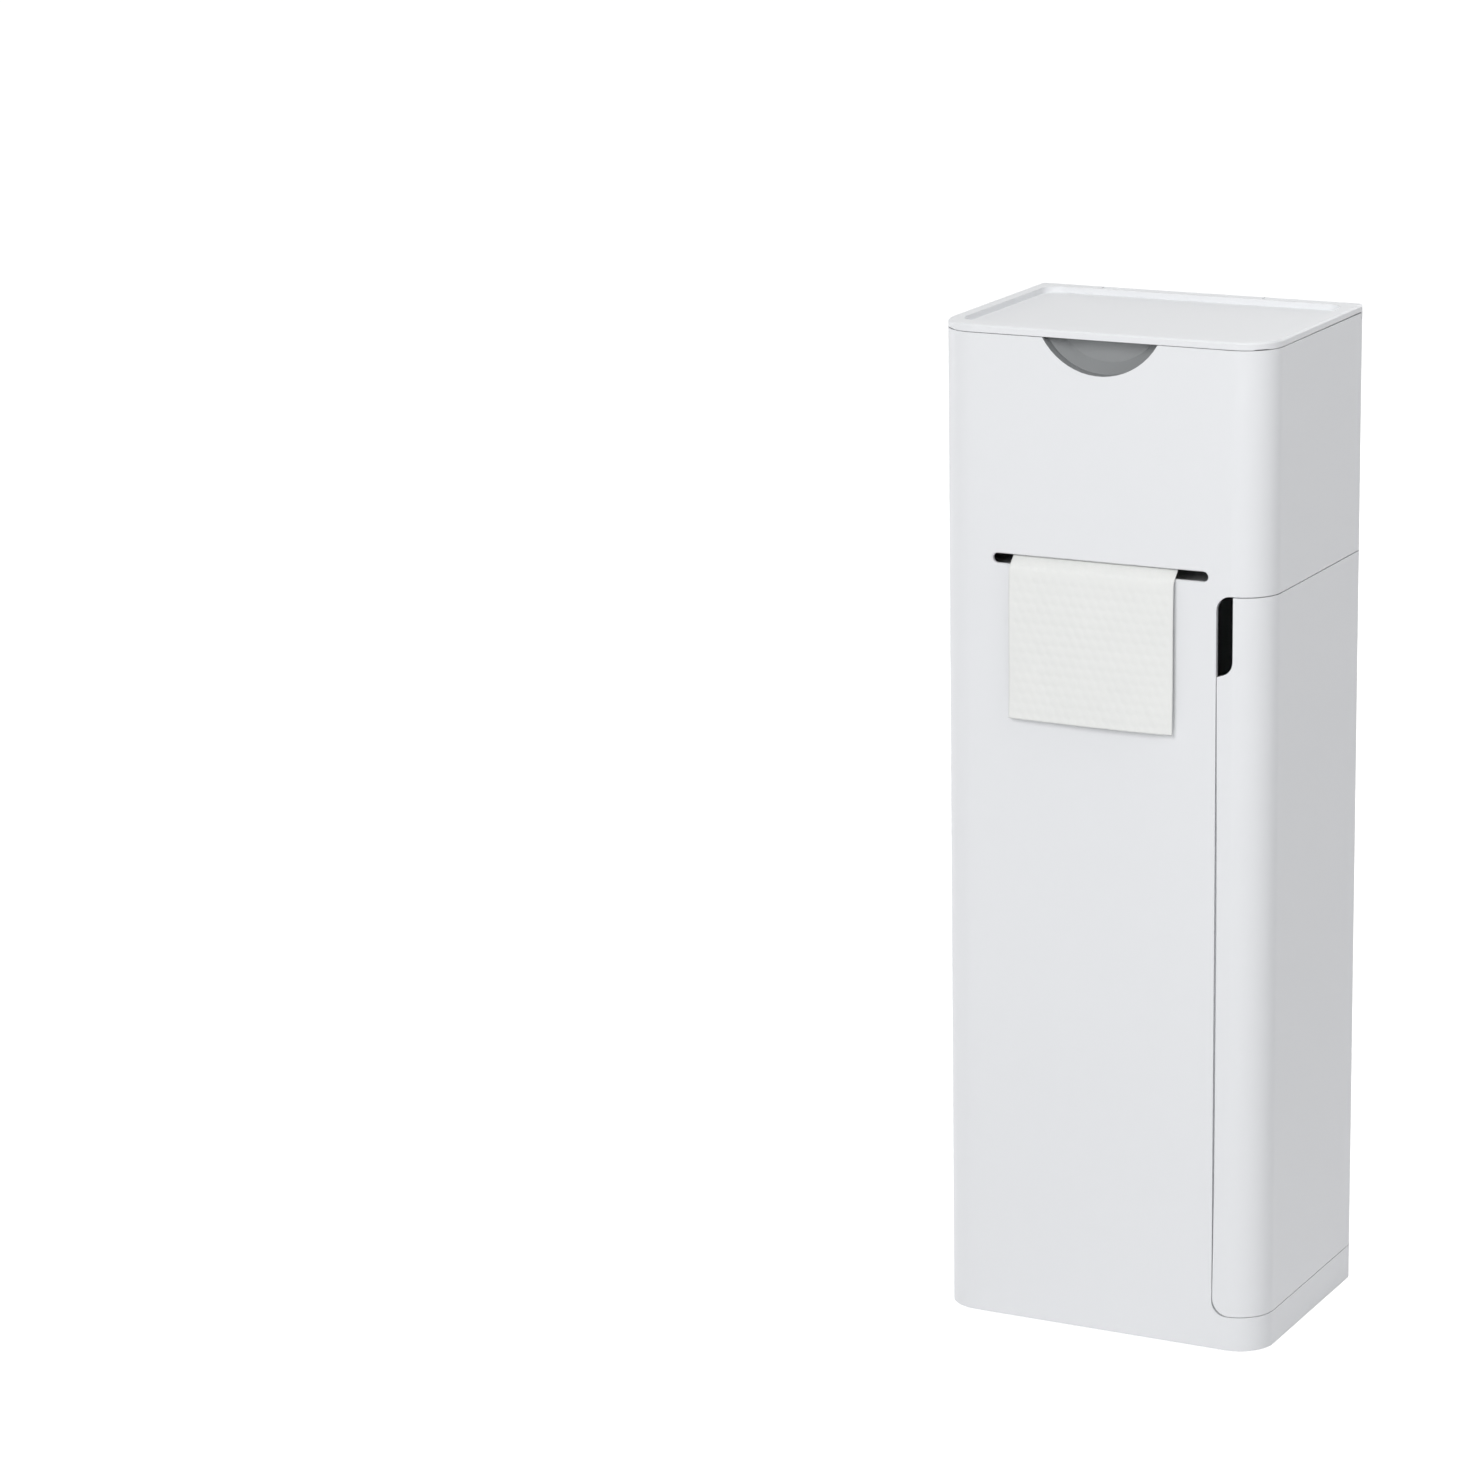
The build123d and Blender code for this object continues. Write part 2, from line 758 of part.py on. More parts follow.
# The free end of the paper: off the front of the roll, out over the slot's lip and down
def paper_path():
    reach = roll_radius + paper_gap + paper_thickness / 2
    inside = Vector(-half_depth + paper_lip, slot_z + paper_lift)
    dy = roll_y - inside.X
    dz = roll_z - inside.Y
    distance = math.hypot(dy, dz)
    run = math.sqrt(distance ** 2 - reach ** 2)
    slope = math.atan2(dz, dy) + math.asin(reach / distance)
    leave = inside + Vector(run * math.cos(slope), run * math.sin(slope))
    points = [
        (leave.X, leave.Y),
        (inside.X, inside.Y),
        (-half_depth - paper_shoulder, slot_z - paper_shoulder_drop),
        (-half_depth - paper_bulge, slot_z - paper_bulge_drop),
        (-half_depth - paper_stand_off + paper_thickness / 2, slot_z - paper_hang),
    ]
    return FilletPolyline(*points, radius=paper_bends)


def paper_sheet():
    strip = trace(paper_path(), paper_thickness)
    x0 = roll_shift - roll_width / 2
    return from_side(strip, x0, x0 + roll_width)


def lid_rod():
    return rod_x(lid_rod_radius, lid_axis_y, lid_axis_z, -lid_rod_half, lid_rod_half)


def tray_outline(grow):
    x = half_width - tray_side_rim + grow
    y0 = -half_depth + tray_front_rim - grow
    y1 = half_depth - tray_rear_rim + grow
    return Pos(0, (y0 + y1) / 2) * RectangleRounded(2 * x, y1 - y0, tray_radius + grow)


def lid_panel():
    skin_z = height - lid_wall
    lid = prism(0, lid_under_z, height)
    lid = chamfer(lid.edges().group_by(Axis.Z)[-1], lid_top_chamfer)
    lid -= prism(lid_wall, lid_under_z - past, skin_z)
    lid += Pos(0, 0, dish_z) * extrude(tray_outline(dish_wall), skin_z + root - dish_z)
    lid -= Pos(0, 0, tray_z) * extrude(tray_outline(0), tray_depth + past)

    # Rounded rear edge that doubles as the hinge knuckle, with gaps for the two ears
    lid -= block(-half_width - past, half_width + past, lid_axis_y, half_depth + past, 0, height + past)
    lid += rod_x(knuckle_radius, lid_axis_y, lid_axis_z, -half_width, half_width) & prism(0, 0, height)
    ear_gap = block(
        ear_inner - ear_side_gap,
        ear_inner + ear_width + ear_side_gap,
        lid_axis_y - knuckle_radius - knuckle_gap,
        half_depth + past,
        0,
        height + past,
    )
    lid -= both_sides(ear_gap)
    bore_end = lid_rod_half + root
    lid -= rod_x(lid_rod_radius + running_gap, lid_axis_y, lid_axis_z, -bore_end, bore_end)
    for x, y in buffer_places():
        lid += stud_z(buffer_radius + buffer_seat, x, y, buffer_top_z, skin_z + root)
    return lid


def lid_buffers():
    low = buffer_top_z - buffer_height
    return [stud_z(buffer_radius, x, y, low, buffer_top_z) for x, y in buffer_places()]


# The door's outline in front view: bowed free edge, finger notch and rounded low corner
def door_outline():
    left = door_edge_x + door_gap_side
    notch_x = door_edge_x + notch_width
    centre_x = notch_x - notch_radius
    centre_z = door_top_z - notch_height + notch_radius
    sweep = math.radians(notch_sweep)
    sweep_x = centre_x + notch_radius * math.cos(sweep)
    sweep_z = centre_z - notch_radius * math.sin(sweep)
    mid_x = centre_x + notch_radius * math.cos(sweep / 2)
    mid_z = centre_z - notch_radius * math.sin(sweep / 2)
    edge_z = sweep_z - (sweep_x - left) / math.tan(sweep)
    bow_z = (edge_z + door_low_z) / 2 - bow_drop
    corner = door_corner_radius
    lines = Curve() + [
        Line((door_far_x, door_high_z), (notch_x, door_high_z)),
        Line((notch_x, door_high_z), (notch_x, centre_z)),
        ThreePointArc((notch_x, centre_z), (mid_x, mid_z), (sweep_x, sweep_z)),
        Line((sweep_x, sweep_z), (left, edge_z)),
        ThreePointArc((left, edge_z), (left + door_gap_bow, bow_z), (left, door_low_z + corner)),
        RadiusArc((left, door_low_z + corner), (left + corner, door_low_z), -corner),
        Line((left + corner, door_low_z), (door_far_x, door_low_z)),
        Line((door_far_x, door_low_z), (door_far_x, door_high_z)),
    ]
    return make_face(lines)


def door_panel():
    door = band(0, wall, door_low_z, door_high_z) & from_front(door_outline(), -half_depth - past, hinge_y)
    door += rod_z(rear_radius, hinge_x, hinge_y, door_low_z, door_high_z)

    # Bore right through the column, with a bush pressed in at each end
    door -= rod_z(bush_radius + fixed_gap, hinge_x, hinge_y, door_low_z - past, door_high_z + past)
    flange_z = door_low_z + bush_flange - bush_step
    door -= rod_z(bush_flange_radius + fixed_gap, hinge_x, hinge_y, door_low_z - past, flange_z)

    # Stiffening ribs that follow the corner
    rib_pitch = (door_top_z - holder_top_z) / (door_ribs + 1)
    rib_x = magnet_x + magnet_width / 2 + magnet_wall + root
    rib_end_y = hinge_y - rear_radius - door_rib_height
    ribs = Part()
    for step in range(door_ribs):
        level = holder_top_z + (step + 1) * rib_pitch
        ribs += band(wall - root, wall + door_rib_height, level, level + door_rib_width)
    door += ribs & block(rib_x, half_width, -half_depth, rib_end_y, 0, height)

    # Pads and bores for the holder's screws
    pad_x = half_width - wall - holder_pad_height
    for y, z in holder_screw_places():
        door += stud_x(holder_pad_radius, y, z, pad_x, half_width - wall + root)
        door -= stud_x(screw_shank + screw_clear, y, z, pad_x - past, half_width - door_skin + fixed_gap)

    # Recesses for the striker plates
    plate_w = magnet_width / 2 + striker_margin + fixed_gap
    plate_h = magnet_height / 2 + striker_margin + fixed_gap
    recess_y = -half_depth + wall - striker_thickness - fixed_gap
    for level in catch_levels:
        low = level - plate_h
        door -= block(lip_x - plate_w, lip_x + plate_w, recess_y, lip_y, low, level + plate_h)
    return door


def hinge_pins():
    low_end = door_bottom_z - pin_hold + pin_end_wall
    low = rod_z(hinge_pin_radius, hinge_x, hinge_y, low_end, door_low_z + bush_length)
    high = rod_z(hinge_pin_radius, hinge_x, hinge_y, door_high_z - bush_length, door_top_z + pin_hold)
    return [low, high]


# A flanged bush that carries the door, and a plain one at the top
def hinge_bushes():
    flange_top = door_low_z + bush_flange - bush_step
    low = rod_z(bush_radius, hinge_x, hinge_y, flange_top - root, door_low_z + bush_length)
    low += rod_z(bush_flange_radius, hinge_x, hinge_y, door_low_z - bush_step, flange_top)
    high = rod_z(bush_radius, hinge_x, hinge_y, door_high_z - bush_length, door_high_z)
    bore = rod_z(hinge_pin_radius + running_gap, hinge_x, hinge_y, 0, height)
    return [low - bore, high - bore]


def catch_magnets():
    half_w = magnet_width / 2
    half_h = magnet_height / 2
    y0 = lip_y + magnet_sunk
    y1 = lip_y + magnet_depth
    return [block(magnet_x - half_w, magnet_x + half_w, y0, y1, z - half_h, z + half_h) for z in catch_levels]


def striker_plates():
    half_w = magnet_width / 2 + striker_margin
    half_h = magnet_height / 2 + striker_margin
    y1 = -half_depth + wall
    y0 = y1 - striker_thickness
    return [block(lip_x - half_w, lip_x + half_w, y0, y1, z - half_h, z + half_h) for z in catch_levels]


def shelf(level):
    clear = wall + shelf_clear
    rear_y = ledge_y - boss_depth / 2
    plate = prism(clear, level, level + shelf_thickness)
    plate &= block(-half_width, shelf_right_x, -half_depth, rear_y, 0, height)
    edge_y = -half_depth + clear + rim_clear
    low = level - shelf_flange
    plate += block(shelf_right_x - shelf_edge, shelf_right_x, edge_y, rear_y, low, level + shelf_lip)
    boss_y = ledge_y - boss_depth - root
    plate -= block(-half_width, -boss_x + boss_radius + root, boss_y, half_depth, 0, height)
    return plate + shelf_pegs(0, level - shelf_peg_depth, level + root)


# Open basket on the inside of the door that the cup stands in
def brush_holder():
    flange_x = holder_back_x - holder_flange
    flange_y = holder_flange_half
    holder = rod_z(holder_radius, cup_x, cup_y, holder_bottom_z, holder_top_z)
    low = holder_bottom_z
    high = holder_top_z
    holder += block(flange_x, holder_back_x, cup_y - flange_y, cup_y + flange_y, low, high)
    well_z = low + holder_floor
    holder -= rod_z(cup_radius + holder_clear, cup_x, cup_y, well_z, holder_top_z + past)
    for y, z in holder_screw_places():
        holder -= stud_x(screw_shank + screw_loose, y, z, flange_x - past, holder_back_x + past)
        holder -= stud_x(screw_head + screw_loose, y, z, flange_x - driver_hole, flange_x)
    return holder


def holder_screws():
    face_x = holder_back_x - holder_flange
    length = half_width - door_skin - face_x
    return [Pos(face_x, y, z) * Rot(0, -90, 0) * pan_screw(length) for y, z in holder_screw_places()]


def brush_cup():
    cup = rod_z(cup_radius, cup_x, cup_y, cup_bottom_z, cup_top_z)
    cup = chamfer(cup.edges().sort_by(Axis.Z)[0], cup_foot_chamfer)
    cup += rod_z(cup_radius + cup_rim, cup_x, cup_y, cup_top_z - cup_rim_height, cup_top_z)
    return cup - rod_z(cup_radius - cup_wall, cup_x, cup_y, cup_bottom_z + cup_foot, cup_top_z + past)


# Silicone head: an eight-sided plug with a shoulder at each end and rows of tapered nubs
def brush_head():
    flat = head_radius * math.cos(math.pi / head_sides)
    section = RegularPolygon(head_radius, head_sides)
    shoulder = draw_in(section, head_shoulder, head_shoulder)
    upper_z = head_length - head_shoulder
    plug = Pos(0, 0, head_shoulder) * extrude(section, upper_z - head_shoulder)
    plug += Pos(0, 0, upper_z) * shoulder
    plug += Pos(0, 0, head_shoulder) * Rot(180, 0, 0) * shoulder
    pitch = (head_length - 2 * nub_end) / (nub_rows - 1)
    inset = (nub_root - nub_tip) / 2
    outset = nub_root - inset
    wedge = Wedge(nub_root, nub_reach - flat + root, nub_root, inset, inset, outset, outset)
    nub = Pos(flat - root, nub_root / 2, -nub_root / 2) * Rot(0, 0, -90) * wedge
    for row in range(nub_rows):
        for step in range(head_sides):
            turn = (step + 0.5) * 360 / head_sides
            plug += Rot(0, 0, turn) * Pos(0, 0, nub_end + row * pitch) * nub
    return Pos(cup_x, cup_y, head_bottom_z) * plug


def splash_disc():
    disc = rod_z(splash_radius, cup_x, cup_y, splash_z, splash_z + splash_thickness)
    disc += rod_z(splash_hub_radius, cup_x, cup_y, splash_z, splash_z + splash_hub)
    return disc - rod_z(handle_foot_radius + fixed_gap, cup_x, cup_y, splash_z - past, height)


# Handle: a foot through the splash disc and a thicker grip that rests on the disc's hub
def brush_handle():
    grip_z = splash_z + splash_hub
    handle = rod_z(handle_foot_radius, cup_x, cup_y, head_top_z, grip_z)
    handle += rod_z(handle_grip_radius, cup_x, cup_y, grip_z, handle_top_z)
    bore = handle_foot_radius - handle_wall
    return handle - rod_z(bore, cup_x, cup_y, grip_z + handle_solid, handle_top_z + past)


def handle_cap():
    cap = rod_z(handle_grip_radius, cup_x, cup_y, handle_top_z, handle_top_z + cap_thickness)
    plug = handle_foot_radius - handle_wall - fixed_gap
    return cap + rod_z(plug, cup_x, cup_y, handle_top_z - cap_plug, handle_top_z + root)


def save(name, shape):
    if isinstance(shape, list):
        shape = Compound(children=shape)
    shape.label = name
    export_step(shape, f"parts/{name}.step")


def main():
    os.makedirs("parts", exist_ok=True)
    save("housing_shell", housing_shell())
    save("back_panel", back_panel())
    save("back_panel_screws", back_panel_screws())
    save("base_plate", base_plate())
    save("base_screws", base_screws())
    save("foot_pads", foot_pads())
    save("chamber_deck", chamber_deck())
    save("deck_screws", deck_screws())
    save("roll_bracket_left", roll_bracket(-1))
    save("roll_bracket_right", roll_bracket(1))
    save("roll_spindle", roll_spindle())
    save("roll_core", roll_core())
    save("paper_roll", paper_roll())
    save("paper_sheet", paper_sheet())
    save("lid_panel", lid_panel())
    save("lid_buffers", lid_buffers())
    save("lid_hinge_rod", lid_rod())
    save("door_panel", door_panel())
    save("door_hinge_pins", hinge_pins())
    save("door_hinge_bushes", hinge_bushes())
    save("catch_magnets", catch_magnets())
    save("striker_plates", striker_plates())
    save("lower_shelf", shelf(shelf_levels[0]))
    save("upper_shelf", shelf(shelf_levels[-1]))
    save("brush_holder", brush_holder())
    save("holder_screws", holder_screws())
    save("brush_cup", brush_cup())
    save("brush_head", brush_head())
    save("splash_disc", splash_disc())
    save("brush_handle", brush_handle())
    save("handle_cap", handle_cap())


main()
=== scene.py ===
# Freestanding toilet butler: finishes, paper, fasteners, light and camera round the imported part
import json
import math
import random

import bmesh
import bpy
from mathutils import Matrix, Vector


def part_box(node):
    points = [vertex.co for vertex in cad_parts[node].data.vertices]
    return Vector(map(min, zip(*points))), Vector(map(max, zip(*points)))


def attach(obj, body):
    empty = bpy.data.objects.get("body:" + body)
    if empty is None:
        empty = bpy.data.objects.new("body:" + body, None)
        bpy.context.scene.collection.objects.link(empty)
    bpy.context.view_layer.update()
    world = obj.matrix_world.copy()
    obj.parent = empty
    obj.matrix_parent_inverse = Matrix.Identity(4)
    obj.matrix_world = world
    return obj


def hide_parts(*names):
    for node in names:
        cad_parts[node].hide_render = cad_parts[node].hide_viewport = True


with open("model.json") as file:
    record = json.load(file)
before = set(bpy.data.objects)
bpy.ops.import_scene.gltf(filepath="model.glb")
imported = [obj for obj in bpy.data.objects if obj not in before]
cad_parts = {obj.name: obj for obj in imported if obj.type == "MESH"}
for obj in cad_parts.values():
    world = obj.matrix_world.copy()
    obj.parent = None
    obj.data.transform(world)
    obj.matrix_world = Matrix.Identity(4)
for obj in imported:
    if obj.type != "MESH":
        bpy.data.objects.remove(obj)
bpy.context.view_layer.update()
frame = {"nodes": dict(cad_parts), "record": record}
mm = 0.001  # all sizes below are millimetres times this

bodyOf = {node: body for body, nodes in frame["record"]["behaviour"]["bodies"].items() for node in nodes}
slotOf = {node: piece.data.materials[0].name.split(".")[0] for node, piece in frame["nodes"].items()}


# One node: a value is the node's own setting where it has one of that name, or else an input's
def addNode(tree, kind, **values):
    node = tree.nodes.new(kind)
    for key, value in values.items():
        if hasattr(node, key):
            setattr(node, key, value)
        else:
            node.inputs[key.replace("_", " ")].default_value = value
    return node


def blankMaterial(name, shaderValues):
    material = bpy.data.materials.new(name)
    material.use_nodes = True
    shader = material.node_tree.nodes["Principled BSDF"]
    for socket, value in shaderValues.items():
        shader.inputs[socket].default_value = value
    return material, material.node_tree, shader


# A finish that drifts between two colours and two roughnesses, with a fine grain in its surface
def mottledFinish(name, look):
    material, tree, shader = blankMaterial(name, look["shader"])
    place = addNode(tree, "ShaderNodeTexCoord")
    stretch = addNode(tree, "ShaderNodeMapping")
    stretch.inputs["Scale"].default_value = look["stretch"]
    tree.links.new(place.outputs["Object"], stretch.inputs["Vector"])
    blotch = addNode(tree, "ShaderNodeTexNoise", Scale=look["blotch"], Detail=4.0)
    tree.links.new(stretch.outputs["Vector"], blotch.inputs["Vector"])
    tint = addNode(tree, "ShaderNodeMix", data_type="RGBA")
    tintInputs = [socket for socket in tint.inputs if socket.type == "RGBA"]
    tintInputs[0].default_value = look["dark"]
    tintInputs[1].default_value = look["light"]
    tree.links.new(blotch.outputs["Fac"], tint.inputs[0])
    tintOut = [socket for socket in tint.outputs if socket.type == "RGBA"][0]
    tree.links.new(tintOut, shader.inputs["Base Color"])
    grain = addNode(tree, "ShaderNodeTexNoise", Scale=look["grain"], Detail=2.0)
    tree.links.new(stretch.outputs["Vector"], grain.inputs["Vector"])
    sheen = addNode(tree, "ShaderNodeMapRange")
    sheen.inputs["To Min"].default_value = look["rough"][0]
    sheen.inputs["To Max"].default_value = look["rough"][1]
    tree.links.new(grain.outputs["Fac"], sheen.inputs["Value"])
    tree.links.new(sheen.outputs["Result"], shader.inputs["Roughness"])
    bump = addNode(tree, "ShaderNodeBump", Strength=look["bump"])
    bump.inputs["Distance"].default_value = look["relief"]
    tree.links.new(grain.outputs["Fac"], bump.inputs["Height"])
    tree.links.new(bump.outputs["Normal"], shader.inputs["Normal"])
    return material


plastic = {"Specular IOR Level": 0.42, "Metallic": 0.0}
steel = {"Specular IOR Level": 0.5, "Metallic": 1.0}
soft = {"Specular IOR Level": 0.25, "Metallic": 0.0}
even = (1, 1, 1)
finishLooks = {
    "white_plastic": dict(
        shader=plastic, light=(0.845, 0.855, 0.868, 1), dark=(0.825, 0.836, 0.85, 1), rough=(0.34, 0.46),
        blotch=9, grain=1100, bump=0.10, relief=0.05 * mm, stretch=even),
    # painted shade: a darker grey copy of the white plastic, laid in the finger scoop for the shade inside the
    # recess
    "scoop_painted_shade": dict(
        shader=plastic, light=(0.33, 0.34, 0.345, 1), dark=(0.29, 0.30, 0.305, 1), rough=(0.45, 0.6),
        blotch=12, grain=1300, bump=0.2, relief=0.06 * mm, stretch=even),
    "grey_plastic": dict(
        shader=plastic, light=(0.30, 0.32, 0.33, 1), dark=(0.26, 0.275, 0.285, 1), rough=(0.42, 0.55),
        blotch=14, grain=1300, bump=0.25, relief=0.08 * mm, stretch=even),
    "zinc_screw": dict(
        shader=steel, light=(0.62, 0.63, 0.62, 1), dark=(0.48, 0.49, 0.50, 1), rough=(0.24, 0.42),
        blotch=420, grain=1600, bump=0.2, relief=0.03 * mm, stretch=even),
    "steel_pin": dict(
        shader=steel, light=(0.60, 0.60, 0.61, 1), dark=(0.50, 0.50, 0.51, 1), rough=(0.20, 0.34),
        blotch=60, grain=900, bump=0.2, relief=0.02 * mm, stretch=(0.2, 4, 4)),
    "grey_rubber": dict(
        shader=soft, light=(0.07, 0.072, 0.076, 1), dark=(0.045, 0.047, 0.05, 1), rough=(0.65, 0.85),
        blotch=40, grain=1500, bump=0.4, relief=0.1 * mm, stretch=even),
    "tissue_paper": dict(
        shader=soft, light=(0.885, 0.89, 0.87, 1), dark=(0.85, 0.86, 0.84, 1), rough=(0.88, 0.98),
        blotch=55, grain=1900, bump=0.55, relief=0.12 * mm, stretch=even),
    "cardboard": dict(
        shader=soft, light=(0.42, 0.34, 0.25, 1), dark=(0.30, 0.24, 0.17, 1), rough=(0.8, 0.95),
        blotch=190, grain=1400, bump=0.5, relief=0.1 * mm, stretch=(1, 4, 4)),
    "nylon": dict(
        shader=plastic, light=(0.74, 0.735, 0.70, 1), dark=(0.68, 0.675, 0.64, 1), rough=(0.36, 0.5),
        blotch=30, grain=1000, bump=0.2, relief=0.04 * mm, stretch=even),
    "magnet": dict(
        shader=steel, light=(0.55, 0.55, 0.56, 1), dark=(0.42, 0.42, 0.43, 1), rough=(0.16, 0.3),
        blotch=90, grain=1200, bump=0.15, relief=0.02 * mm, stretch=even),
    "silicone": dict(
        shader=soft, light=(0.12, 0.13, 0.135, 1), dark=(0.085, 0.093, 0.098, 1), rough=(0.5, 0.68),
        blotch=25, grain=900, bump=0.25, relief=0.06 * mm, stretch=even),
}
finishes = {name: mottledFinish(name + "Finish", look) for name, look in finishLooks.items()}
print("finishes made:", len(finishes))


# A mesh of the scene's own, put on its body in its finish
def finishPiece(piece, node, replaced=None):
    piece.data.materials.clear()
    piece.data.materials.append(finishes[slotOf[node]])
    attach(piece, bodyOf[node])
    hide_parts(*(replaced or [node]))
    return piece


def newPiece(name, mesh):
    piece = bpy.data.objects.new(name, mesh)
    bpy.context.scene.collection.objects.link(piece)
    return piece


# The piece's mesh as its modifiers leave it, with no modifier left on it
def settle(piece):
    graph = bpy.context.evaluated_depsgraph_get()
    mesh = bpy.data.meshes.new_from_object(piece.evaluated_get(graph), depsgraph=graph)
    piece.modifiers.clear()
    piece.data = mesh
    return piece


keptTriangles = ("back_panel", "housing_shell")  # their wide ribbed and opened faces stay as triangles
mergeFit = {"reach": 0.002, "flatTurn": 0.4}  # millimetres between doubles, degrees within one flat face


def merged(node):
    work = bmesh.new()
    work.from_mesh(frame["nodes"][node].data)
    bmesh.ops.remove_doubles(work, verts=work.verts, dist=mergeFit["reach"] * mm)
    if node not in keptTriangles:
        flatTurn = math.radians(mergeFit["flatTurn"])
        bmesh.ops.dissolve_limit(work, angle_limit=flatTurn, verts=work.verts, edges=work.edges)
    mesh = bpy.data.meshes.new(node)
    work.to_mesh(mesh)
    work.free()
    return mesh


plainLeast = 12  # degrees, on pieces whose edges stay unrounded


# Shared edge rounding: width in millimetres, steps across it, and the least turn that counts as an edge
def softenEdges(piece, width, steps, least=32):
    if steps:
        bevel = piece.modifiers.new("edges", "BEVEL")
        bevel.width = width * mm
        bevel.segments = steps
        bevel.limit_method = "ANGLE"
        bevel.angle_limit = math.radians(least)
        bevel.miter_outer = "MITER_ARC"
        bevel.use_clamp_overlap = True
        settle(piece)
    piece.data.shade_smooth()
    piece.data.set_sharp_from_angle(angle=math.radians(least if steps else plainLeast))
    if steps:
        weights = piece.modifiers.new("shading", "WEIGHTED_NORMAL")
        weights.keep_sharp = True
        settle(piece)
    return piece


edgeWidths = {
    "housing_shell": (0.45, 3), "lid_panel": (0.5, 3), "door_panel": (0.35, 3), "base_plate": (0.4, 2),
    "back_panel": (0, 0), "chamber_deck": (0, 0), "lower_shelf": (0.6, 3), "upper_shelf": (0.6, 3),
    "roll_bracket_left": (0.5, 2), "roll_bracket_right": (0.5, 2), "brush_holder": (0.5, 3),
    "brush_cup": (0.6, 3), "splash_disc": (0.5, 3), "brush_handle": (0.4, 3), "handle_cap": (0.9, 4),
    "roll_spindle": (0.4, 2), "foot_pads": (0.5, 2), "lid_buffers": (0.4, 2), "lid_hinge_rod": (0.3, 2),
    "door_hinge_pins": (0.3, 2), "door_hinge_bushes": (0.25, 2), "catch_magnets": (0.25, 2),
    "striker_plates": (0.15, 2),
}
for node, (width, steps) in edgeWidths.items():
    piece = newPiece("dressed_" + node, merged(node))
    finishPiece(softenEdges(piece, width, steps), node)
print("rigid pieces dressed:", len(edgeWidths))


# The finger scoop under the lid is painted darker grey than the casing round it: painted shade for the recess
# under the lid
scoop = {"halfWidth": 37, "low": 559, "front": -74.3, "back": -58}


def shadeScoop(piece):
    # painted shade: the faces inside the scoop take the darker grey finish
    piece.data.materials.append(finishes["scoop_painted_shade"])
    for face in piece.data.polygons:
        x, y, z = face.center / mm
        if scoop["front"] < y < scoop["back"] and abs(x) < scoop["halfWidth"] and z > scoop["low"]:
            face.material_index = 1


# The lid's edge hangs a lip over the seam, short of the rim below
lidLip = {"drop": 0.4, "reach": 4.0, "rise": 0.8, "rear": 40}


def hangLip(piece):
    low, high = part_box("lid_panel")
    edge = min(vert.co.z for vert in piece.data.vertices if vert.co.y < low.y + mm)
    for vert in piece.data.vertices:
        nearEdge = vert.co.y < low.y + lidLip["reach"] * mm or abs(vert.co.x) > high.x - lidLip["reach"] * mm
        if nearEdge and vert.co.z < edge + lidLip["rise"] * mm and vert.co.y < lidLip["rear"] * mm:
            vert.co.z -= lidLip["drop"] * mm


shadeScoop(bpy.data.objects["dressed_housing_shell"])
hangLip(bpy.data.objects["dressed_lid_panel"])


# Boxes of the separate solids in one node, each a low and a high corner
def solidBoxes(node):
    work = bmesh.new()
    work.from_mesh(merged(node))
    left = set(work.verts)
    boxes = []
    while left:
        front = [left.pop()]
        group = list(front)
        while front:
            near = {edge.other_vert(vert) for vert in front for edge in vert.link_edges} & left
            left -= near
            front = list(near)
            group += front
        corners = [Vector(pick(vert.co[axis] for vert in group) for axis in range(3)) for pick in (min, max)]
        boxes.append(corners)
    work.free()
    return sorted(boxes, key=lambda corners: tuple(corners[0]))


# Screws: one is drawn by a node tree, with thread and cross recess, and stands at each point of the seats
screwShape = {"shankRadius": 1.9, "threadRise": 0.28, "threadPitch": 1.3, "slotWidth": 1.1, "slotLength": 4.2,
              "slotDepth": 1.3}
screwFit = {"headShare": 0.97, "headRim": 0.2, "plainTurns": 1.2, "tipTurns": 0.4, "sharpTurn": 35}
screwFacets = {"head": 32, "shank": 20, "thread": 14, "ridge": 4}


